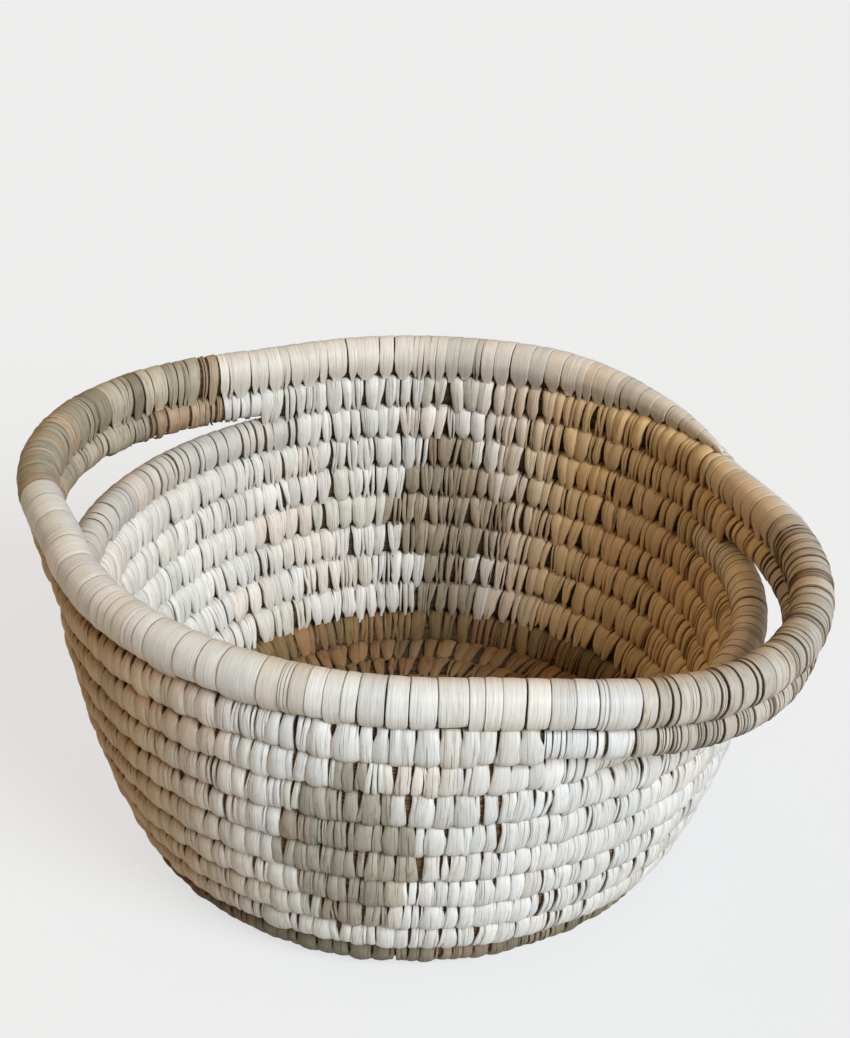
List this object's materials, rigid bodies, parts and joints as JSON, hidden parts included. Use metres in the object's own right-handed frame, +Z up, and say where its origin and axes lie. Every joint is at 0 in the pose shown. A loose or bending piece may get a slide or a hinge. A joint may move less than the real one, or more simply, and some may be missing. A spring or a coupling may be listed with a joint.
{
  "type": "coiled palm-leaf fruit basket",
  "caption": "Round coiled palm-leaf fruit basket with an oval mouth, stepped-diamond motifs and a loop handle at each side.",
  "frame": {"origin": "on the axis that the coil winds round, at the surface the basket stands on", "axes": "+X along the two handles, towards the deeper one; +Z up out of the mouth; +Y towards the far side in the picture"},
  "size_m": [0.349, 0.2942, 0.1614],
  "materials": {
    "cream_leaf": "matte",
    "pale_leaf": "satin",
    "olive_leaf": "matte",
    "motif_leaf": "matte",
    "dark_leaf": "matte",
    "tan_leaf": "matte",
    "bundle": "matte"
  },
  "bodies": {
    "root": {"foundation_coil": "bundle", "rim_wrap_back": "pale_leaf", "left_handle_upper_wrap": "olive_leaf", "rim_wrap_front": "pale_leaf", "right_handle_upper_wrap": "olive_leaf", "rim_wrap_right": "pale_leaf", "second_row_wrap_back": "cream_leaf", "left_handle_lower_wrap": "olive_leaf", "second_row_wrap_front": "cream_leaf", "right_handle_lower_wrap": "olive_leaf", "second_row_wrap_right": "cream_leaf", "third_row_wrap_back": "cream_leaf", "left_edge_wrap": "pale_leaf", "third_row_wrap_front": "cream_leaf", "right_edge_wrap": "pale_leaf", "wall_wrap_right_4": "cream_leaf", "back_motif_4": "motif_leaf", "wall_wrap_left_4": "cream_leaf", "front_motif_4": "motif_leaf", "wall_wrap_right_5": "cream_leaf", "back_motif_5": "motif_leaf", "wall_wrap_left_5": "cream_leaf", "front_motif_5": "motif_leaf", "wall_wrap_right_6": "cream_leaf", "back_motif_6": "motif_leaf", "wall_wrap_left_6": "cream_leaf", "front_motif_6": "motif_leaf", "wall_wrap_right_7": "cream_leaf", "back_motif_7": "motif_leaf", "wall_wrap_left_7": "cream_leaf", "front_motif_7": "motif_leaf", "wall_wrap_right_8": "cream_leaf", "back_motif_8": "motif_leaf", "wall_wrap_left_8": "cream_leaf", "front_motif_8": "motif_leaf", "wall_wrap_right_9": "cream_leaf", "back_motif_9": "motif_leaf", "wall_wrap_left_9": "cream_leaf", "corner_wrap": "dark_leaf", "floor_wrap": "tan_leaf"}
  },
  "joints": []
}
